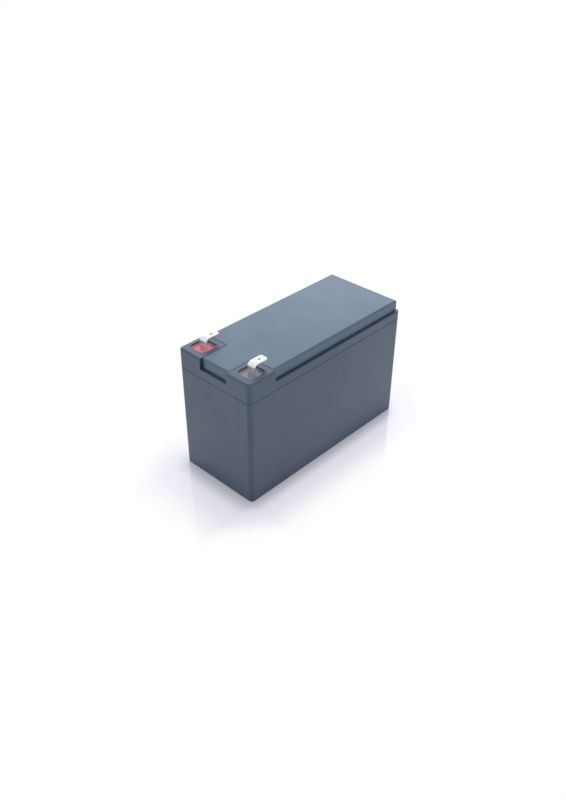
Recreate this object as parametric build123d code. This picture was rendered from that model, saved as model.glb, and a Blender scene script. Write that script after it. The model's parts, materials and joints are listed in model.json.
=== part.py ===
from build123d import *
import os

# A sealed 12 volt lead-acid battery. Millimetres, Z up, origin under the middle of the base.
# X runs along the case away from the terminal end, Y across it, positive terminal on +Y.

# Case moulding
case_length = 151.0
case_width = 65.0
container_height = 79.5     # base to the weld seam under the lid
lid_skirt = 6.5             # seam to the ledge that carries the cover
cover_height = 8.0          # ledge to the flat top
corner_radius = 3.0         # upright corners
top_edge_radius = 1.4
ledge_edge_radius = 0.6
joint_edge_radius = 0.3
foot_radius = 1.0
seam_chamfer = 0.55

# Container
wall = 2.4
floor_thickness = 2.6
cell_wall = 1.8
cell_corner_radius = 1.2
cells_long = 3
rail_width = 1.6            # rails on the cell floor, under the plates
rail_height = 1.5
rail_offset = 12.0
gate_radius = 3.5           # shallow moulding marks under the cells
gate_depth = 0.4
rim_key_width = 0.8         # upstand on the rim that keys into the lid
rim_key_height = 1.6
rim_key_fit = 0.1

# Lid
tray_depth = 2.5            # recess under the cover, below the ledge
deck_thickness = 2.2
block_length = 23.5         # corner blocks that hold the terminals
block_width = 20.5
block_shell = 2.2
well_from_end = 12.5        # case end to the middle of a terminal well
well_from_side = 10.5
well_length = 13.0
well_width = 13.0
well_depth = 5.0
well_corner_radius = 2.5
well_rim_radius = 0.4

# Vent posts and their rubber caps
vent_from_block = 10.65     # corner block to the middle of the first vents
vent_from_end = 18.15       # far end of the case to the middle of the last vents
vent_row = 14.0             # from the centre line
vent_post_radius = 3.75
vent_bore_radius = 2.0
cap_radius = 5.0
cap_bead_radius = 5.6
cap_bead_height = 1.2
cap_roof = 1.2
cap_edge_radius = 0.6
cap_gap = 0.3               # under the cap, and between it and the cover's rib

# Cover
cover_inset = 2.0           # set back from the sides of the case
cover_corner_radius = 1.0
cover_joint = 0.2           # gap to the corner blocks
cover_thickness = 1.8
cover_wall = 2.0
cover_seat = 2.4            # width of the ledge it rests on
skirt_fit = 0.15
skirt_thickness = 1.2
skirt_depth = 1.6           # reach of the locating skirt below the ledge
hold_rib_width = 1.6
hold_rib_height = 1.1
hold_rib_reach = 9.0        # past the outer vents
cross_rib_count = 4

# Plates and separators of one cell
positive_thickness = 2.6
negative_thickness = 1.8
element_side_gap = 0.3
plate_end_gap = 1.8
plate_headroom = 13.5       # seam to the top edge of the plates
grid_border = 2.5
paste_recess = 0.15
mat_least_thickness = 1.0   # a glass mat is pressed no thinner than this
separator_overlap = 1.0
lug_from_wall = 8.25        # end wall of a cell to the middle of a lug
lug_width = 8.0
lug_height = 3.0

# Cast straps and the welds through the cell walls
strap_width = 7.0
strap_thickness = 4.0
strap_corner_radius = 1.5
arm_width = 12.0
upstand_thickness = 3.0
upstand_corner_radius = 3.0
upstand_headroom = 0.6      # below the seam
weld_radius = 3.0
weld_headroom = 5.0         # seam to the middle of a weld

# Posts, rings, tabs and the resin round them
post_radius = 4.2
post_fit = 0.2
post_cover = 1.4            # resin over the post
post_pad_border = 0.8
ring_width = 1.5
ring_height = 1.4
resin_depth = 3.4
tab_width = 6.35
tab_thickness = 0.8
tab_length = 12.0
tab_rise = 6.0              # above the flat top
tab_bend_radius = 2.0
tab_tip_chamfer = 1.0
tab_hole_radius = 0.9
tab_hole_from_tip = 4.8
tab_slot_depth = 2.0

# Heights
ledge_z = container_height + lid_skirt
top_z = ledge_z + cover_height
tray_z = ledge_z - tray_depth
deck_under_z = tray_z - deck_thickness
well_z = top_z - well_depth
resin_z = well_z + resin_depth
post_top_z = resin_z - post_cover
tab_top_z = top_z + tab_rise
plate_top_z = container_height - plate_headroom
strap_z = plate_top_z + lug_height
weld_z = container_height - weld_headroom
upstand_top_z = container_height - upstand_headroom
cover_under_z = top_z - cover_thickness
hold_rib_z = cover_under_z - hold_rib_height
cap_top_z = hold_rib_z - cap_gap
vent_top_z = cap_top_z - cap_roof

# Plan positions
half_length = case_length / 2
half_width = case_width / 2
cell_length = (case_length - 2 * wall - (cells_long - 1) * cell_wall) / cells_long
cell_width = (case_width - 2 * wall - cell_wall) / 2
column_pitch = cell_length + cell_wall
row_y = (cell_width + cell_wall) / 2
well_x = -half_length + well_from_end
well_y = half_width - well_from_side
block_face_x = -half_length + block_length
block_face_y = half_width - block_width
lug_offset = cell_length / 2 - lug_from_wall

# The plate stack of a cell: as many plates as its room takes, and mats that fill the rest
stack_width = cell_width - 2 * element_side_gap
plate_pair = positive_thickness + negative_thickness + 2 * mat_least_thickness
positive_count = int((stack_width - negative_thickness) // plate_pair)
negative_count = positive_count + 1
mat_room = stack_width - positive_count * positive_thickness - negative_count * negative_thickness
mat_thickness = mat_room / (2 * positive_count)
stack_pitch = positive_thickness + negative_thickness + 2 * mat_thickness
rail_z = floor_thickness + rail_height
plate_bottom_z = rail_z + mat_thickness
plate_length = cell_length - 2 * plate_end_gap

# Cells in the order of the current: along the positive row and back along the negative one
cells = [(column, 1) for column in range(cells_long)]
cells += [(column, -1) for column in reversed(range(cells_long))]


def column_x(column):
    return (column - (cells_long - 1) / 2) * column_pitch


def block(x_range, y_range, z_range):
    """A box between two limits on each axis."""
    sizes = [abs(high - low) for low, high in (x_range, y_range, z_range)]
    middle = [(high + low) / 2 for low, high in (x_range, y_range, z_range)]
    return Pos(*middle) * Box(*sizes)


def prism(outline, low, high):
    """An outline drawn in plan, raised from one height to another."""
    return Pos(0, 0, low) * extrude(outline, high - low)


def plan_rectangle(x_range, y_range):
    x_middle, y_middle = sum(x_range) / 2, sum(y_range) / 2
    return Pos(x_middle, y_middle) * Rectangle(x_range[1] - x_range[0], y_range[1] - y_range[0])


def case_outline(inset=0.0):
    radius = max(corner_radius - inset, joint_edge_radius)
    return RectangleRounded(case_length - 2 * inset, case_width - 2 * inset, radius)


def cell_outlines():
    """The room inside each cell, in plan."""
    room = RectangleRounded(cell_length, cell_width, cell_corner_radius)
    return [Pos(column_x(column), row * row_y) * room for column, row in cells]


def rim_key_outline(growth=0.0):
    """The key on the container's rim: a ring in the outer wall and a bar on each cell wall."""
    width = rim_key_width + 2 * growth
    ring = case_outline(wall / 2 - width / 2) - case_outline(wall / 2 + width / 2)
    reach_x, reach_y = half_length - wall / 2, half_width - wall / 2
    bars = plan_rectangle((-reach_x, reach_x), (-width / 2, width / 2))
    for column in range(cells_long - 1):
        bar_x = column_x(column) + column_pitch / 2
        bars += plan_rectangle((bar_x - width / 2, bar_x + width / 2), (-reach_y, reach_y))
    return ring + bars


def cover_outline(inset=0.0):
    """The cover in plan: a panel, and a tongue that runs between the two corner blocks."""
    edge_x, edge_y = half_length - cover_inset - inset, half_width - cover_inset - inset
    panel_x = block_face_x + cover_joint + inset
    tongue_y = block_face_y - cover_joint - inset
    panel = plan_rectangle((panel_x, edge_x), (-edge_y, edge_y))
    tongue = plan_rectangle((-edge_x, panel_x + wall), (-tongue_y, tongue_y))
    outline = panel + tongue
    back_corners = outline.vertices().group_by(Axis.X)[-1]
    inner_corners = [
        outline.vertices().sort_by_distance((panel_x, side * tongue_y, 0))[0] for side in (1, -1)
    ]
    return fillet([*back_corners, *inner_corners], cover_corner_radius)


def weld_places():
    """Each weld through a cell wall: its place, and whether it runs along the case."""
    places = []
    for (column, row), (next_column, next_row) in zip(cells, cells[1:]):
        if row == next_row:
            places.append((column_x((column + next_column) / 2), row * row_y, True))
        else:
            places.append((column_x(column) + lug_offset, 0.0, False))
    return places


def weld_plug(place, length):
    x, y, along = place
    turn = Rot(0, 90, 0) if along else Rot(90, 0, 0)
    return Pos(x, y, weld_z) * turn * Cylinder(weld_radius, length)


def make_container():
    body = prism(case_outline(), 0, container_height)
    body = fillet(body.faces().sort_by(Axis.Z)[0].edges(), foot_radius)
    body = chamfer(body.faces().sort_by(Axis.Z)[-1].edges(), seam_chamfer)
    for outline in cell_outlines():
        body -= prism(outline, floor_thickness, container_height)
    for column, row in cells:
        centre_x, centre_y = column_x(column), row * row_y
        for rail_x in (centre_x - rail_offset, centre_x + rail_offset):
            x_range = (rail_x - rail_width / 2, rail_x + rail_width / 2)
            y_range = (centre_y - cell_width / 2, centre_y + cell_width / 2)
            body += block(x_range, y_range, (floor_thickness, rail_z))
        body -= Pos(centre_x, centre_y, gate_depth / 2) * Cylinder(gate_radius, gate_depth)
    for place in weld_places():
        body -= weld_plug(place, cell_wall)
    return body + prism(rim_key_outline(), container_height, container_height + rim_key_height)


def round_top(body, is_joint):
    """Rounds the top edges: widely on the outside, finely beside another piece."""
    top_edges = body.faces().sort_by(Axis.Z)[-1].edges()
    body = fillet([edge for edge in top_edges if not is_joint(edge.center())], top_edge_radius)
    top_edges = body.faces().sort_by(Axis.Z)[-1].edges()
    return fillet([edge for edge in top_edges if is_joint(edge.center())], joint_edge_radius)


def make_corner_block(side):
    """One of the two blocks that rise to the flat top and hold a terminal well."""
    plan = case_outline() & plan_rectangle((-half_length, block_face_x), (block_face_y, half_width))
    inner_corner = plan.vertices().sort_by_distance((block_face_x, block_face_y, 0))[0]
    plan = fillet(inner_corner, cover_corner_radius - cover_joint)
    body = prism(plan, tray_z, top_z)
    # The two faces beside the cover meet at the rounded inner corner
    near_x, near_y = block_face_x - cover_corner_radius, block_face_y + cover_corner_radius
    body = round_top(body, lambda place: place.X > near_x or place.Y < near_y)
    well = Pos(well_x, well_y) * RectangleRounded(well_length, well_width, well_corner_radius)
    body -= prism(well, well_z, top_z)
    rim = body.faces().sort_by(Axis.Z)[-1].inner_wires()[0].edges()
    body = fillet(rim, well_rim_radius)
    return body if side > 0 else mirror(body, Plane.XZ)


def vent_x(column):
    """The vents of the first column keep clear of the corner blocks, those of the last of the end."""
    first_x, last_x = block_face_x + vent_from_block, half_length - vent_from_end
    return first_x + (last_x - first_x) * column / (cells_long - 1)


def vent_places():
    return [(vent_x(column), row * vent_row) for column, row in cells]


def make_lid():
    body = prism(case_outline(), container_height, ledge_z)
    body = chamfer(body.faces().sort_by(Axis.Z)[0].edges(), seam_chamfer)
    body = fillet(body.faces().sort_by(Axis.Z)[-1].edges(), ledge_edge_radius)
    for side in (1, -1):
        body += make_corner_block(side)
    body -= prism(cover_outline(cover_seat), tray_z, top_z)
    for outline in cell_outlines():
        body -= prism(outline, container_height, deck_under_z)
    body -= prism(rim_key_outline(rim_key_fit), container_height,
                  container_height + rim_key_height + rim_key_fit)
    for side in (1, -1):
        # Each block is cored from below, and its post passes through the floor of the well
        core_x = (-half_length + wall, block_face_x - block_shell)
        core_y = sorted((side * (half_width - wall), side * (block_face_y + block_shell)))
        core = plan_rectangle(core_x, core_y)
        body -= prism(core, container_height, well_z - block_shell)
        body -= Pos(well_x, side * well_y, well_z) * Cylinder(post_radius + post_fit,
                                                              2 * block_shell)
    for place in vent_places():
        post = prism(Circle(vent_post_radius), tray_z, vent_top_z)
        bore = prism(Circle(vent_bore_radius), deck_under_z, vent_top_z)
        body = body + Pos(*place) * post - Pos(*place) * bore
    return body


def make_cover():
    body = prism(cover_outline(), ledge_z, top_z)
    near_x, near_y = block_face_x + cover_corner_radius, block_face_y - cover_corner_radius
    body = round_top(body, lambda place: place.X < near_x and abs(place.Y) > near_y)
    body -= prism(cover_outline(cover_wall), ledge_z, cover_under_z)
    skirt_inset = cover_seat + skirt_fit
    skirt = cover_outline(skirt_inset) - cover_outline(skirt_inset + skirt_thickness)
    body += prism(skirt, ledge_z - skirt_depth, cover_under_z)
    # Ribs over the two rows of caps, and cross ribs between the rows
    first_x = vent_x(0) - hold_rib_reach
    last_x = vent_x(cells_long - 1) + hold_rib_reach
    for rib_y in (-vent_row, vent_row):
        y_range = (rib_y - hold_rib_width / 2, rib_y + hold_rib_width / 2)
        body += block((first_x, last_x), y_range, (hold_rib_z, cover_under_z))
    for index in range(cross_rib_count):
        rib_x = first_x + (last_x - first_x) * index / (cross_rib_count - 1)
        x_range = (rib_x - hold_rib_width / 2, rib_x + hold_rib_width / 2)
        body += block(x_range, (-vent_row, vent_row), (hold_rib_z, cover_under_z))
    return body


def make_valve_cap(place):
    """A rubber cap that grips the outside of a vent post."""
    low = tray_z + cap_gap
    profile = Polyline(
        (0, cap_top_z), (cap_radius, cap_top_z), (cap_radius, low + cap_bead_height),
        (cap_bead_radius, low + cap_bead_height), (cap_bead_radius, low),
        (vent_post_radius, low), (vent_post_radius, vent_top_z), (0, vent_top_z), close=True,
    )
    body = revolve(Plane.XZ * make_face(profile), Axis.Z)
    rim = body.edges().filter_by(GeomType.CIRCLE).group_by(Axis.Z)[-1]
    return Pos(*place, 0) * fillet(rim, cap_edge_radius)


def make_plate(cell_centre_x, plate_y, thickness, lug_side):
    """A pasted grid: its border stands a little proud of the paste, and its lug on top."""
    half = plate_length / 2
    y_range = (plate_y - thickness / 2, plate_y + thickness / 2)
    body = block((cell_centre_x - half, cell_centre_x + half), y_range,
                 (plate_bottom_z, plate_top_z))
    inner = half - grid_border
    for face_y in y_range:
        recess = block((cell_centre_x - inner, cell_centre_x + inner),
                       (face_y - paste_recess, face_y + paste_recess),
                       (plate_bottom_z + grid_border, plate_top_z - grid_border))
        body -= recess
    lug_x = cell_centre_x + lug_side * lug_offset
    lug = block((lug_x - lug_width / 2, lug_x + lug_width / 2), y_range, (plate_top_z, strap_z))
    return body + lug


def make_separator(cell_centre_x, plate_y):
    """A glass mat folded under a positive plate, up both of its faces."""
    outer_y = positive_thickness / 2 + mat_thickness
    high = plate_top_z + separator_overlap
    sleeve = plan_rectangle((-outer_y, outer_y), (rail_z, high))
    sleeve = fillet(sleeve.vertices().group_by(Axis.Y)[0], mat_thickness)
    slot = plan_rectangle((-positive_thickness / 2, positive_thickness / 2),
                          (plate_bottom_z, high))
    length = plate_length + 2 * separator_overlap
    body = extrude(Plane.YZ * (sleeve - slot), length / 2, both=True)
    return Pos(cell_centre_x, plate_y, 0) * body


def flow(row):
    """The way along X from a cell's positive strap to its negative one."""
    return 1 if row > 0 else -1


def plate_offsets(polarity):
    """Y of each plate of a polarity, from the middle of its cell."""
    count = positive_count if polarity > 0 else negative_count
    return [(index - (count - 1) / 2) * stack_pitch for index in range(count)]


def make_plates(column, row, polarity):
    thickness = positive_thickness if polarity > 0 else negative_thickness
    return [make_plate(column_x(column), row * row_y + offset, thickness, -polarity * flow(row))
            for offset in plate_offsets(polarity)]


def strap_x(column, row, polarity):
    return column_x(column) - polarity * flow(row) * lug_offset


def make_strap(column, row, polarity):
    """The bar cast across the lugs of one polarity in a cell."""
    thickness = positive_thickness if polarity > 0 else negative_thickness
    reach = plate_offsets(polarity)[-1] + thickness / 2
    bar = RectangleRounded(strap_width, 2 * reach, strap_corner_radius)
    bar = Pos(strap_x(column, row, polarity), row * row_y) * bar
    return prism(bar, strap_z, strap_z + strap_thickness)


def make_upstand():
    """The tongue of a strap that is pressed against a cell wall, facing along X."""
    face = plan_rectangle((-arm_width / 2, arm_width / 2), (strap_z, upstand_top_z))
    face = fillet(face.vertices().group_by(Axis.Y)[-1], upstand_corner_radius)
    return extrude(Plane.YZ * face, upstand_thickness)


def make_connector(index):
    """Two neighbouring straps, joined by a weld through the wall between their cells."""
    (column, row), (next_column, next_row) = cells[index], cells[index + 1]
    x, y, along = weld_places()[index]
    body = make_strap(column, row, -1) + make_strap(next_column, next_row, 1)
    for side in (1, -1):
        if along:
            upstand = Pos(side * cell_wall / 2, 0, 0) * (make_upstand() if side > 0
                                                         else mirror(make_upstand(), Plane.YZ))
            wall_x, far_x = side * cell_wall / 2, side * (column_pitch / 2 - lug_offset)
            arm = block(sorted((wall_x, far_x)), (-arm_width / 2, arm_width / 2),
                        (strap_z, strap_z + strap_thickness))
        else:
            upstand = Rot(0, 0, side * 90) * Pos(cell_wall / 2, 0, 0) * make_upstand()
            arm = block((-strap_width / 2, strap_width / 2),
                        sorted((side * cell_wall / 2, side * row_y)),
                        (strap_z, strap_z + strap_thickness))
        body += Pos(x, y, 0) * (upstand + arm)
    return body + weld_plug((x, y, along), cell_wall)


def post_slot(side):
    """The slot in a post's top that takes the foot of the tab."""
    x_range = (well_x - tab_thickness / 2, well_x + tab_thickness / 2)
    y_range = (side * well_y - tab_width / 2, side * well_y + tab_width / 2)
    return block(x_range, y_range, (post_top_z - tab_slot_depth, post_top_z))


def make_end_strap(side):
    """The strap of an end cell, with the post that rises into the terminal well."""
    end_x = strap_x(0, side, side)
    pad_radius = post_radius + post_pad_border
    pad = Pos(well_x, side * well_y) * Circle(pad_radius)
    pad += plan_rectangle(sorted((end_x, well_x)),
                          (side * well_y - pad_radius, side * well_y + pad_radius))
    body = make_strap(0, side, side) + prism(pad, strap_z, strap_z + strap_thickness)
    post = Pos(well_x, side * well_y) * Circle(post_radius)
    return body + prism(post, strap_z, post_top_z) - post_slot(side)


def make_post_ring(side):
    ring = Circle(post_radius + ring_width) - Circle(post_radius)
    return prism(Pos(well_x, side * well_y) * ring, well_z, well_z + ring_height)


def make_terminal(side):
    """A push-on tab, bent over towards the middle of the battery."""
    back, front = -tab_thickness / 2, tab_thickness / 2
    foot_z, tip_x = post_top_z - tab_slot_depth, back + tab_length
    under_z = tab_top_z - tab_thickness
    corner, inner_corner = (back, tab_top_z), (front, under_z)
    outline = Polyline((back, foot_z), corner, (tip_x, tab_top_z), (tip_x, under_z),
                       inner_corner, (front, foot_z), close=True)
    face = make_face(outline)
    outer = face.vertices().sort_by_distance((*corner, 0))[0]
    face = fillet(outer, tab_bend_radius + tab_thickness)
    inner = face.vertices().sort_by_distance((*inner_corner, 0))[0]
    face = fillet(inner, tab_bend_radius)
    body = extrude(Plane.XZ * face, tab_width / 2, both=True)
    tip_edges = body.edges().filter_by(Axis.Z).group_by(Axis.X)[-1]
    body = chamfer(tip_edges, tab_tip_chamfer)
    hole = Pos(tip_x - tab_hole_from_tip, 0, tab_top_z) * Cylinder(tab_hole_radius,
                                                                 4 * tab_thickness)
    return Pos(well_x, side * well_y, 0) * (body - hole)


def make_well_seal(side):
    """The resin poured into a well, round the post, its ring and the foot of the tab."""
    pool = Pos(well_x, side * well_y) * RectangleRounded(well_length, well_width,
                                                         well_corner_radius)
    body = prism(pool, well_z, resin_z)
    body -= prism(Pos(well_x, side * well_y) * Circle(post_radius), well_z, post_top_z)
    body -= prism(Pos(well_x, side * well_y) * Circle(post_radius + ring_width), well_z,
                  well_z + ring_height)
    x_range = (well_x - tab_thickness / 2, well_x + tab_thickness / 2)
    y_range = (side * well_y - tab_width / 2, side * well_y + tab_width / 2)
    return body - block(x_range, y_range, (post_top_z, resin_z))


def make_nodes():
    nodes = {"container": make_container(), "lid": make_lid(), "cover": make_cover()}
    for number, place in enumerate(vent_places(), 1):
        nodes[f"valve_cap_{number}"] = make_valve_cap(place)
    for number, (column, row) in enumerate(cells, 1):
        nodes[f"positive_plates_{number}"] = make_plates(column, row, 1)
        nodes[f"negative_plates_{number}"] = make_plates(column, row, -1)
        nodes[f"separators_{number}"] = [
            make_separator(column_x(column), row * row_y + offset) for offset in plate_offsets(1)
        ]
    for index in range(len(cells) - 1):
        nodes[f"connector_{index + 1}"] = make_connector(index)
    for side, name in ((1, "positive"), (-1, "negative")):
        nodes[f"{name}_end_strap"] = make_end_strap(side)
        nodes[f"{name}_post_ring"] = make_post_ring(side)
        nodes[f"{name}_terminal"] = make_terminal(side)
        nodes[f"{name}_well_seal"] = make_well_seal(side)
    return nodes


os.makedirs("parts", exist_ok=True)
for name, shape in make_nodes().items():
    if isinstance(shape, list):
        shape = Compound(children=shape)
    export_step(shape, f"parts/{name}.step")
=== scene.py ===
import json
from math import cos, pi, radians, sin

import bpy
from mathutils import Matrix, Vector


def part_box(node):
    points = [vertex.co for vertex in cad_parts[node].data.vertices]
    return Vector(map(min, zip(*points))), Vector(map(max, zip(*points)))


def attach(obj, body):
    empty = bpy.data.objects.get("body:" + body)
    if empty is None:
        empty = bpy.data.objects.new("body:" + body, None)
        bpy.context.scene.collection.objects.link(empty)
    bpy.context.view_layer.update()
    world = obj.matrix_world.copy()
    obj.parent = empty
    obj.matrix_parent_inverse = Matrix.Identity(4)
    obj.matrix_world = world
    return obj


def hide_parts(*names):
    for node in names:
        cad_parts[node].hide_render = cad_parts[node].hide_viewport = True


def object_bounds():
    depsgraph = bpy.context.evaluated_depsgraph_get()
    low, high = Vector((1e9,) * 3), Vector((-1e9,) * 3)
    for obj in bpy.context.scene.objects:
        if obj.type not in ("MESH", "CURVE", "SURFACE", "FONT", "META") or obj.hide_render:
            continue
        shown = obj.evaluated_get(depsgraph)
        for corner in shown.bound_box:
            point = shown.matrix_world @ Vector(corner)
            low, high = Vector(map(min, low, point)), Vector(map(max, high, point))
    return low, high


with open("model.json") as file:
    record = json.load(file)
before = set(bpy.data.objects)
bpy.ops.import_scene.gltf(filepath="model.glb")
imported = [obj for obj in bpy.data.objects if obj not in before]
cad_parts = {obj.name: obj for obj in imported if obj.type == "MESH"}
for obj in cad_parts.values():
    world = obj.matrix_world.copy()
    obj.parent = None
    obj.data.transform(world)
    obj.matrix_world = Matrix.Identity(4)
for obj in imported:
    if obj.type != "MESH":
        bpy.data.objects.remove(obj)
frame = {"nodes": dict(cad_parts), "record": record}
cad_low, cad_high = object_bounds()

# Camera, as the photograph was taken: degrees, metres and the 566 x 800 frame
camera_azimuth = -46.48
camera_elevation = 35.23
camera_roll = 0.17
camera_place = Vector((-0.3489, -0.3203, 0.3643))
focal_pixels = 802.5
frame_height = 800
sensor_size = 36.0

# Finishes, as linear colours
case_colour = (0.032, 0.046, 0.074)
case_light = (0.044, 0.062, 0.096)
cover_colour = (0.036, 0.056, 0.088)
cover_light = (0.048, 0.072, 0.110)
case_tint = (0.60, 0.75, 1.0)
cover_tint = (0.50, 0.70, 1.0)
tin_colour = (0.86, 0.87, 0.87)
red_colour = (0.50, 0.11, 0.16)
black_colour = (0.135, 0.145, 0.170)
lead_colour = (0.30, 0.31, 0.33)
positive_colour = (0.075, 0.032, 0.020)
negative_colour = (0.28, 0.29, 0.30)
mat_colour = (0.80, 0.80, 0.77)
rubber_colour = (0.012, 0.012, 0.012)

# Indices of refraction, all above the real 1.5, for the pale sheen that the photograph shows
case_gloss = 1.8
cover_gloss = 2.1
resin_gloss = 2.1

# Roughness of the plastics, about which the rubbed patches vary
case_roughness = 0.27
cover_roughness = 0.30

# Floor, in metres and linear colours. Its fades go by the weighted distance from the case
floor_side = 8.0
floor_colour = (0.84, 0.83, 0.90)
# Tint of the floor's glow close to the case, a painted shadow
painted_shadow_tint = (0.91, 0.905, 1.0)
white = (1.0, 1.0, 1.0)
floor_roughness = 0.08
floor_gloss = 1.5
mirror_gloss = 1.75
fade_weights = (0.85, 1.2, 0.0)
near_fade = (0.0, 0.014)
far_fade = (0.012, 0.044)
mirror_fade = (0.010, 0.060)
white_at_foot = 0.15
white_nearby = 0.76

# Light from all round, a little weaker from behind the battery: 1.0 is white
fill_colour = (0.95, 0.97, 1.0)
behind = (0.73, 0.69, 0.0)
fill_in_front = 0.72
fill_behind = 0.60

# Small forms, in metres
tab_thickness = 0.0008
tab_edge = 0.00012
well_corner = 0.0025
corner_steps = 8
bead_gap = 0.00004
bead_reach = 0.0008
merge_distance = 0.000002

# The resin where it climbs: each step goes inwards, and to a height above the flat resin
wall_profile = (
    (0.0, 0.0006), (0.00008, 0.00036), (0.00016, 0.00018), (0.00026, 0.00007), (0.0003, 0.00002))
foot_profile = (
    (0.0, 0.00002), (0.0003, 0.00007), (0.00026, 0.00018), (0.00016, 0.00034), (0.00008, 0.0005))


def add(tree, kind, inputs=None, **settings):
    """A new node, with its settings and with values or links on its inputs."""
    made = tree.nodes.new(kind)
    for name, value in settings.items():
        setattr(made, name, value)
    for name, value in (inputs or {}).items():
        if isinstance(value, bpy.types.NodeSocket):
            tree.links.new(value, made.inputs[name])
        else:
            made.inputs[name].default_value = value
    return made


def opaque(colour):
    """The colour with full alpha, as a socket takes it."""
    return (*colour, 1.0)


def new_material(name):
    """A material with its tree, its shader and the object's own coordinates."""
    material = bpy.data.materials.new(name)
    material.use_nodes = True
    tree = material.node_tree
    shader = tree.nodes["Principled BSDF"]
    place = add(tree, "ShaderNodeTexCoord").outputs["Object"]
    return material, tree, shader, place


def noise(tree, place, scale, detail, roughness, stretch=None):
    """Noise with a given number of features to the metre, stretched along an axis if asked."""
    if stretch:
        mapping = add(tree, "ShaderNodeMapping", {"Vector": place, "Scale": stretch})
        place = mapping.outputs["Vector"]
    inputs = {"Vector": place, "Scale": scale, "Detail": detail, "Roughness": roughness}
    return add(tree, "ShaderNodeTexNoise", inputs).outputs["Fac"]


def spread(tree, value, low, high, to_low=0.0, to_high=1.0):
    """Takes a value between two limits smoothly to another stretch."""
    inputs = {"Value": value, "From Min": low, "From Max": high, "To Min": to_low, "To Max": to_high}
    made = add(tree, "ShaderNodeMapRange", inputs, interpolation_type="SMOOTHSTEP")
    return made.outputs["Result"]


def blend_colours(tree, share, first, second):
    """From the first colour to the second by a share. Either may come from a node."""
    mix = add(tree, "ShaderNodeMix", data_type="RGBA")
    tree.links.new(share, mix.inputs["Factor"])
    for socket, colour in (("A", first), ("B", second)):
        target = next(s for s in mix.inputs if s.name == socket and s.type == "RGBA")
        if isinstance(colour, bpy.types.NodeSocket):
            tree.links.new(colour, target)
        else:
            target.default_value = opaque(colour)
    return next(s for s in mix.outputs if s.type == "RGBA")


def bump(tree, shader, heights, distance, strength):
    inputs = {"Height": heights, "Distance": distance, "Strength": strength}
    made = add(tree, "ShaderNodeBump", inputs)
    tree.links.new(made.outputs["Normal"], shader.inputs["Normal"])


def sum_of(tree, first, second, weight):
    inputs = {0: second, 1: weight, 2: first}
    return add(tree, "ShaderNodeMath", inputs, operation="MULTIPLY_ADD").outputs["Value"]


def moulded_plastic(name, colour, light, roughness, gloss, tint):
    """Satin moulded plastic: cloudy colour, a fine etched grain and soft rubbed patches."""
    material, tree, shader, place = new_material(name)
    cloud = noise(tree, place, scale=14.0, detail=3.0, roughness=0.5)
    rubbed = noise(tree, place, scale=45.0, detail=4.0, roughness=0.55)
    grain = noise(tree, place, scale=1500.0, detail=1.0, roughness=0.5)
    shade = blend_colours(tree, spread(tree, cloud, 0.35, 0.68), colour, light)
    tree.links.new(shade, shader.inputs["Base Color"])
    rough = spread(tree, rubbed, 0.3, 0.7, roughness - 0.03, roughness + 0.04)
    tree.links.new(rough, shader.inputs["Roughness"])
    shader.inputs["IOR"].default_value = gloss
    shader.inputs["Specular Tint"].default_value = opaque(tint)
    bump(tree, shader, grain, distance=0.00002, strength=0.16)
    return material


def tinned_metal():
    """Bright tin plate, drawn lengthwise, with soft cloudy dulling."""
    material, tree, shader, place = new_material("tin_plate")
    drawn = noise(tree, place, scale=60.0, detail=3.0, roughness=0.6, stretch=(1.0, 60.0, 12.0))
    cloud = noise(tree, place, scale=380.0, detail=2.0, roughness=0.5)
    dull = tuple(0.78 * part for part in tin_colour)
    shade = blend_colours(tree, spread(tree, cloud, 0.4, 0.75), tin_colour, dull)
    tree.links.new(shade, shader.inputs["Base Color"])
    shader.inputs["Metallic"].default_value = 0.7
    tree.links.new(spread(tree, cloud, 0.3, 0.8, 0.22, 0.38), shader.inputs["Roughness"])
    bump(tree, shader, drawn, distance=0.00002, strength=0.15)
    return material


def poured_resin(name, colour):
    """Resin that set with a faint ripple and a few fine bubbles."""
    material, tree, shader, place = new_material(name)
    ripple = noise(tree, place, scale=260.0, detail=2.0, roughness=0.4)
    cells = add(tree, "ShaderNodeTexVoronoi", {"Vector": place, "Scale": 900.0})
    depth = spread(tree, ripple, 0.3, 0.7)
    shade = blend_colours(tree, depth, colour, tuple(1.5 * part + 0.002 for part in colour))
    tree.links.new(shade, shader.inputs["Base Color"])
    tree.links.new(spread(tree, ripple, 0.2, 0.8, 0.38, 0.50), shader.inputs["Roughness"])
    shader.inputs["IOR"].default_value = resin_gloss
    pits = spread(tree, cells.outputs["Distance"], 0.0, 0.22)
    bump(tree, shader, sum_of(tree, ripple, pits, weight=0.25), distance=0.0002, strength=0.5)
    return material


def cast_lead():
    """Dull lead with the skin of its mould and a paler bloom."""
    material, tree, shader, place = new_material("cast_lead")
    skin = noise(tree, place, scale=300.0, detail=5.0, roughness=0.6)
    bloom = noise(tree, place, scale=60.0, detail=3.0, roughness=0.5)
    pale = tuple(1.45 * part for part in lead_colour)
    shade = blend_colours(tree, spread(tree, bloom, 0.35, 0.7), lead_colour, pale)
    tree.links.new(shade, shader.inputs["Base Color"])
    shader.inputs["Metallic"].default_value = 0.85
    tree.links.new(spread(tree, skin, 0.3, 0.7, 0.42, 0.62), shader.inputs["Roughness"])
    bump(tree, shader, skin, distance=0.00015, strength=0.5)
    return material


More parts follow.
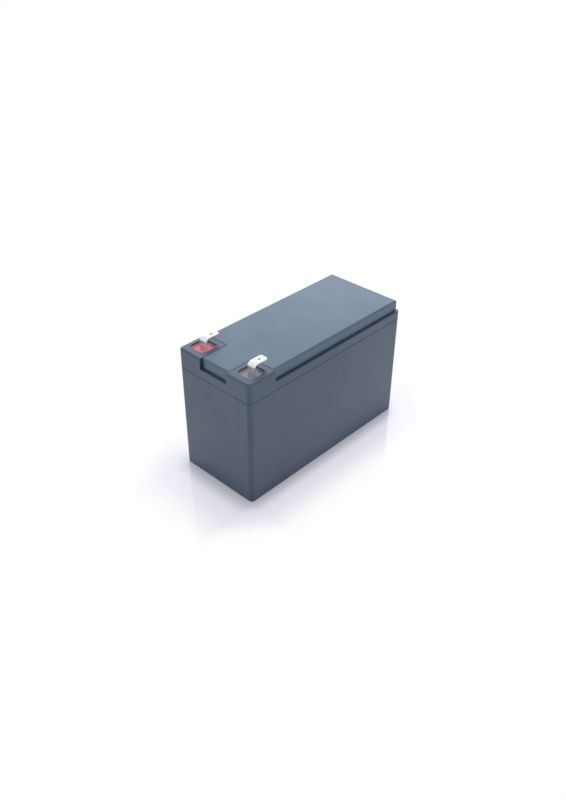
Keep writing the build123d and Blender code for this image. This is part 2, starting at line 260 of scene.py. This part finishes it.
def pasted_plate(name, colour):
    """Porous paste, with the faint lattice of the grid telegraphing through it."""
    material, tree, shader, place = new_material(name)
    pores = noise(tree, place, scale=1500.0, detail=4.0, roughness=0.65)
    cloud = noise(tree, place, scale=90.0, detail=3.0, roughness=0.5)
    upright = add(tree, "ShaderNodeMapping", {"Vector": place, "Rotation": (radians(90), 0.0, 0.0)})
    bars = {"Vector": upright.outputs["Vector"], "Scale": 1.0, "Mortar Size": 0.0006,
            "Brick Width": 0.009, "Row Height": 0.006}
    lattice = add(tree, "ShaderNodeTexBrick", bars, offset=0.0).outputs["Fac"]
    shade = blend_colours(tree, spread(tree, cloud, 0.3, 0.7), colour,
                          tuple(1.35 * part for part in colour))
    shade = blend_colours(tree, spread(tree, lattice, 0.0, 1.0, 0.0, 0.35), shade, lead_colour)
    tree.links.new(shade, shader.inputs["Base Color"])
    tree.links.new(spread(tree, pores, 0.3, 0.7, 0.8, 0.95), shader.inputs["Roughness"])
    bump(tree, shader, pores, distance=0.0002, strength=0.6)
    return material


def glass_mat():
    """Felted glass fibre."""
    material, tree, shader, place = new_material("glass_mat")
    fibres = noise(tree, place, scale=500.0, detail=6.0, roughness=0.75, stretch=(1.0, 1.0, 3.0))
    shade = blend_colours(tree, spread(tree, fibres, 0.35, 0.65),
                          tuple(0.86 * part for part in mat_colour), mat_colour)
    tree.links.new(shade, shader.inputs["Base Color"])
    tree.links.new(spread(tree, fibres, 0.3, 0.7, 0.85, 0.98), shader.inputs["Roughness"])
    bump(tree, shader, fibres, distance=0.0002, strength=0.5)
    return material


def soft_rubber():
    """Matt black rubber with a little dust."""
    material, tree, shader, place = new_material("soft_rubber")
    skin = noise(tree, place, scale=1100.0, detail=3.0, roughness=0.6)
    dust = noise(tree, place, scale=140.0, detail=4.0, roughness=0.6)
    shade = blend_colours(tree, spread(tree, dust, 0.5, 0.8, 0.0, 0.6), rubber_colour,
                          tuple(3.0 * part for part in rubber_colour))
    tree.links.new(shade, shader.inputs["Base Color"])
    tree.links.new(spread(tree, skin, 0.3, 0.7, 0.55, 0.7), shader.inputs["Roughness"])
    bump(tree, shader, skin, distance=0.00005, strength=0.5)
    return material


finishes = {
    "case_plastic": moulded_plastic(
        "case_plastic", case_colour, case_light, case_roughness, case_gloss, case_tint),
    "cover_plastic": moulded_plastic(
        "cover_plastic", cover_colour, cover_light, cover_roughness, cover_gloss, cover_tint),
    "tab_metal": tinned_metal(),
    "red_resin": poured_resin("red_resin", red_colour),
    "black_resin": poured_resin("black_resin", black_colour),
    "lead": cast_lead(),
    "positive_paste": pasted_plate("positive_paste", positive_colour),
    "negative_paste": pasted_plate("negative_paste", negative_colour),
    "glass_mat": glass_mat(),
    "seal_rubber": soft_rubber(),
}


def finish_nodes():
    """Gives each CAD node the finish of its slot in the record."""
    for part in frame["record"]["subparts"]:
        piece = frame["nodes"][part["node"]]
        if not piece.material_slots:
            piece.data.materials.append(None)
        for material_slot in piece.material_slots:
            material_slot.material = finishes[part["material_slot"]]


def make_camera():
    """The camera at the photograph's viewing angle."""
    azimuth, elevation, roll = map(radians, (camera_azimuth, camera_elevation, camera_roll))
    back = Vector((sin(azimuth) * cos(elevation), -cos(azimuth) * cos(elevation), sin(elevation)))
    right = Vector((cos(azimuth), sin(azimuth), 0.0))
    up = back.cross(right)
    turned_right = right * cos(roll) + up * sin(roll)
    turned_up = up * cos(roll) - right * sin(roll)
    data = bpy.data.cameras.new("camera")
    data.sensor_width = sensor_size
    data.lens = focal_pixels / frame_height * sensor_size
    camera = bpy.data.objects.new("camera", data)
    bpy.context.scene.collection.objects.link(camera)
    turn = Matrix((turned_right, turned_up, back)).transposed().to_4x4()
    camera.matrix_world = Matrix.Translation(camera_place) @ turn
    bpy.context.scene.camera = camera


def share_of_rays(tree, *kinds):
    """One for a ray of the given kinds, and zero for any other."""
    path = add(tree, "ShaderNodeLightPath")
    share = path.outputs[kinds[0]]
    for kind in kinds[1:]:
        share = add(tree, "ShaderNodeMath", {0: share, 1: path.outputs[kind]},
                    operation="MAXIMUM").outputs["Value"]
    return share


def mix_shaders(tree, share, first, second):
    """From the first shader to the second by a share."""
    inputs = {0: share, 1: first, 2: second}
    return add(tree, "ShaderNodeMixShader", inputs).outputs["Shader"]


def deselect():
    bpy.ops.object.select_all(action="DESELECT")


def distance_from_case(tree, place):
    """How far a place on the floor is from the case, weighted by the side that it is off."""
    distance = add(tree, "ShaderNodeVectorMath", {0: place}, operation="ABSOLUTE")
    half_case = (*cad_high[:2], 0.0)
    inputs = {0: distance.outputs["Vector"], 1: half_case}
    gap = add(tree, "ShaderNodeVectorMath", inputs, operation="SUBTRACT")
    inputs = {0: gap.outputs["Vector"], 1: (0.0, 0.0, 0.0)}
    outside = add(tree, "ShaderNodeVectorMath", inputs, operation="MAXIMUM")
    inputs = {0: outside.outputs["Vector"], 1: fade_weights}
    return add(tree, "ShaderNodeVectorMath", inputs, operation="DOT_PRODUCT").outputs["Value"]


def make_floor():
    """A pale glossy floor that melts into the white surroundings and keeps the shadow, with a
    painted shadow tint close to the case.
    """
    deselect()
    bpy.ops.mesh.primitive_plane_add(size=floor_side)
    floor = bpy.context.object
    floor.name = "floor"
    material, tree, shader, place = new_material("pale_floor")
    shader.inputs["Base Color"].default_value = opaque(floor_colour)
    shader.inputs["Roughness"].default_value = floor_roughness
    shader.inputs["IOR"].default_value = floor_gloss
    lit_floor = shader.outputs["BSDF"]
    # The shadow fades out with distance from the case, into plain white. Close to the case the white
    # glow is tinted, a painted shadow
    distance = distance_from_case(tree, place)
    near = spread(tree, distance, *near_fade, white_at_foot, white_nearby)
    far = spread(tree, distance, *far_fade)
    share = sum_of(tree, near, far, weight=1.0 - white_nearby)
    pale = blend_colours(tree, far, painted_shadow_tint, white)
    white_glow_and_painted_shadow = add(tree, "ShaderNodeEmission", {"Color": pale, "Strength": 1.0}).outputs["Emission"]
    shadowed = mix_shaders(tree, share, lit_floor, white_glow_and_painted_shadow)
    # The camera also sees the battery's mirror image, close to it
    gloss = add(tree, "ShaderNodeBsdfGlossy", {"Roughness": floor_roughness}).outputs["BSDF"]
    sheen = add(tree, "ShaderNodeFresnel", {"IOR": mirror_gloss}).outputs["Fac"]
    fade = spread(tree, distance, *mirror_fade, 1.0, 0.0)
    mirror = add(tree, "ShaderNodeMath", {0: sheen, 1: fade}, operation="MULTIPLY").outputs["Value"]
    polished = mix_shaders(tree, mirror, shadowed, gloss)
    # Reflections see the same pale floor and shadow, and diffuse light bounces off the floor itself
    seen = mix_shaders(tree, share_of_rays(tree, "Is Camera Ray"), lit_floor, polished)
    reflected = share_of_rays(tree, "Is Glossy Ray", "Is Transmission Ray")
    result = mix_shaders(tree, reflected, seen, shadowed)
    tree.links.new(result, tree.nodes["Material Output"].inputs["Surface"])
    floor.data.materials.append(material)


def make_world():
    """Soft light all round, and plain white for the camera and for reflections."""
    world = bpy.data.worlds.new("studio")
    bpy.context.scene.world = world
    world.use_nodes = True
    tree = world.node_tree
    tree.nodes.clear()
    direction = add(tree, "ShaderNodeTexCoord").outputs["Generated"]
    inputs = {0: direction, 1: behind}
    facing = add(tree, "ShaderNodeVectorMath", inputs, operation="DOT_PRODUCT").outputs["Value"]
    strength = spread(tree, facing, -0.3, 0.7, fill_in_front, fill_behind)
    fill = add(tree, "ShaderNodeBackground", {"Color": opaque(fill_colour), "Strength": strength})
    plain = add(tree, "ShaderNodeBackground", {"Color": opaque(white), "Strength": 1.0})
    shown = share_of_rays(tree, "Is Camera Ray", "Is Glossy Ray", "Is Transmission Ray")
    result = mix_shaders(tree, shown, fill.outputs["Background"], plain.outputs["Background"])
    output = add(tree, "ShaderNodeOutputWorld")
    tree.links.new(result, output.inputs["Surface"])


def make_softbox(name, place, aim, size, brightness, in_reflections):
    """A soft lamp that is either seen in reflections or lights surfaces. White has brightness 1."""
    data = bpy.data.lights.new(name, "AREA")
    data.shape = "RECTANGLE"
    data.size, data.size_y = size
    data.energy = brightness * pi * size[0] * size[1]
    lamp = bpy.data.objects.new(name, data)
    bpy.context.scene.collection.objects.link(lamp)
    lamp.location = place
    lamp.rotation_mode = "QUATERNION"
    lamp.rotation_quaternion = (Vector(aim) - Vector(place)).to_track_quat("-Z", "Y")
    lamp.visible_glossy = in_reflections
    lamp.visible_diffuse = not in_reflections


def edit_faces(piece, choose):
    """Opens a piece in edit mode, with only the faces selected that a rule on them chooses."""
    deselect()
    bpy.context.view_layer.objects.active = piece
    piece.select_set(True)
    bpy.ops.object.mode_set(mode="EDIT")
    bpy.ops.mesh.select_mode(type="FACE")
    bpy.ops.mesh.select_all(action="DESELECT")
    bpy.ops.object.mode_set(mode="OBJECT")
    for face in piece.data.polygons:
        face.select = choose(face)
    bpy.ops.object.mode_set(mode="EDIT")


def apply_modifiers(piece):
    """Applies all of a piece's modifiers and leaves it alone selected."""
    deselect()
    bpy.context.view_layer.objects.active = piece
    piece.select_set(True)
    for modifier in list(piece.modifiers):
        bpy.ops.object.modifier_apply(modifier=modifier.name)


def round_edges(piece, width):
    """Rounds a piece's sharp edges and shades the roundings smoothly."""
    bevel = piece.modifiers.new("edges", "BEVEL")
    bevel.width = width
    bevel.segments = 2
    bevel.limit_method = "ANGLE"
    bevel.angle_limit = radians(35.0)
    apply_modifiers(piece)
    bpy.ops.object.shade_smooth_by_angle(angle=radians(30.0))


def finish_piece(piece, slot):
    """Hands a finished piece to the battery, with the finish of its slot."""
    piece.data.materials.clear()
    piece.data.materials.append(finishes[slot])
    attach(piece, "root")


def round_terminal(node):
    """The tab as it leaves its press: the same form, with its edges rounded."""
    source = frame["nodes"][node]
    deselect()
    piece = source.copy()
    piece.data = source.data.copy()
    piece.name = node.replace("terminal", "tab")
    bpy.context.scene.collection.objects.link(piece)
    edit_faces(piece, lambda face: True)
    bpy.ops.mesh.remove_doubles(threshold=merge_distance)
    bpy.ops.mesh.dissolve_limited(angle_limit=radians(1.0))
    bpy.ops.object.mode_set(mode="OBJECT")
    round_edges(piece, tab_edge)
    finish_piece(piece, "tab_metal")
    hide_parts(node)


def raise_edge(name, slot, middle, size, corner, steps):
    """A closed concave bead on the resin, by the steps of its profile."""
    deselect()
    bpy.ops.mesh.primitive_plane_add(size=1.0)
    piece = bpy.context.object
    piece.name = name
    piece.scale = (*size, 1.0)
    piece.location = (*middle[:2], middle[2] + steps[0][1])
    bpy.ops.object.transform_apply(location=True, rotation=False, scale=True)
    bpy.ops.object.mode_set(mode="EDIT")
    bpy.ops.mesh.select_all(action="SELECT")
    bpy.ops.mesh.bevel(affect="VERTICES", offset=corner, segments=corner_steps)
    bpy.ops.mesh.select_all(action="SELECT")
    height = steps[0][1]
    for inwards, next_height in steps[1:]:
        bpy.ops.mesh.inset(thickness=inwards, depth=0.0)
        bpy.ops.transform.translate(value=(0.0, 0.0, next_height - height))
        height = next_height
    bpy.ops.mesh.delete(type="FACE")
    # The open ring gets its wall and its flat underside, on the resin
    bpy.ops.mesh.select_all(action="SELECT")
    bpy.ops.mesh.extrude_region_move()
    bpy.ops.transform.resize(value=(1.0, 1.0, 0.0), center_override=(*middle[:2], middle[2]))
    bpy.ops.mesh.select_all(action="SELECT")
    bpy.ops.mesh.normals_make_consistent(inside=False)
    bpy.ops.object.mode_set(mode="OBJECT")
    bpy.ops.object.shade_smooth_by_angle(angle=radians(40.0))
    finish_piece(piece, slot)


def make_well_details(polarity, slot):
    """Where the resin climbs the wall of its well, and the foot of the tab."""
    low, high = map(Vector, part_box(f"{polarity}_well_seal"))
    tab_low, tab_high = map(Vector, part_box(f"{polarity}_terminal"))
    centre = ((low.x + high.x) / 2, (low.y + high.y) / 2, high.z)
    size = (high.x - low.x - bead_gap, high.y - low.y - bead_gap)
    raise_edge(f"{polarity}_resin_at_wall", slot, centre, size, well_corner, wall_profile)
    foot = (2 * bead_reach + tab_thickness, 2 * bead_reach + tab_high.y - tab_low.y)
    raise_edge(f"{polarity}_resin_at_tab", slot, centre, foot, bead_reach, foot_profile)


def make_details():
    """The rounded tabs and the resin in both wells."""
    for polarity in ("positive", "negative"):
        round_terminal(f"{polarity}_terminal")
        make_well_details(polarity, "red_resin" if polarity == "positive" else "black_resin")


finish_nodes()
make_details()
make_camera()
make_floor()
make_world()
make_softbox("back_softbox", place=(0.64, 0.60, 0.36), aim=(0.0, 0.0, 0.09), size=(0.8, 0.62),
             brightness=1.0, in_reflections=True)
make_softbox("key_lamp", place=(0.75, 0.70, 1.0), aim=(0.0, 0.0, 0.0), size=(1.2, 1.2),
             brightness=2.1, in_reflections=False)

bpy.context.scene.view_settings.view_transform = "Standard"
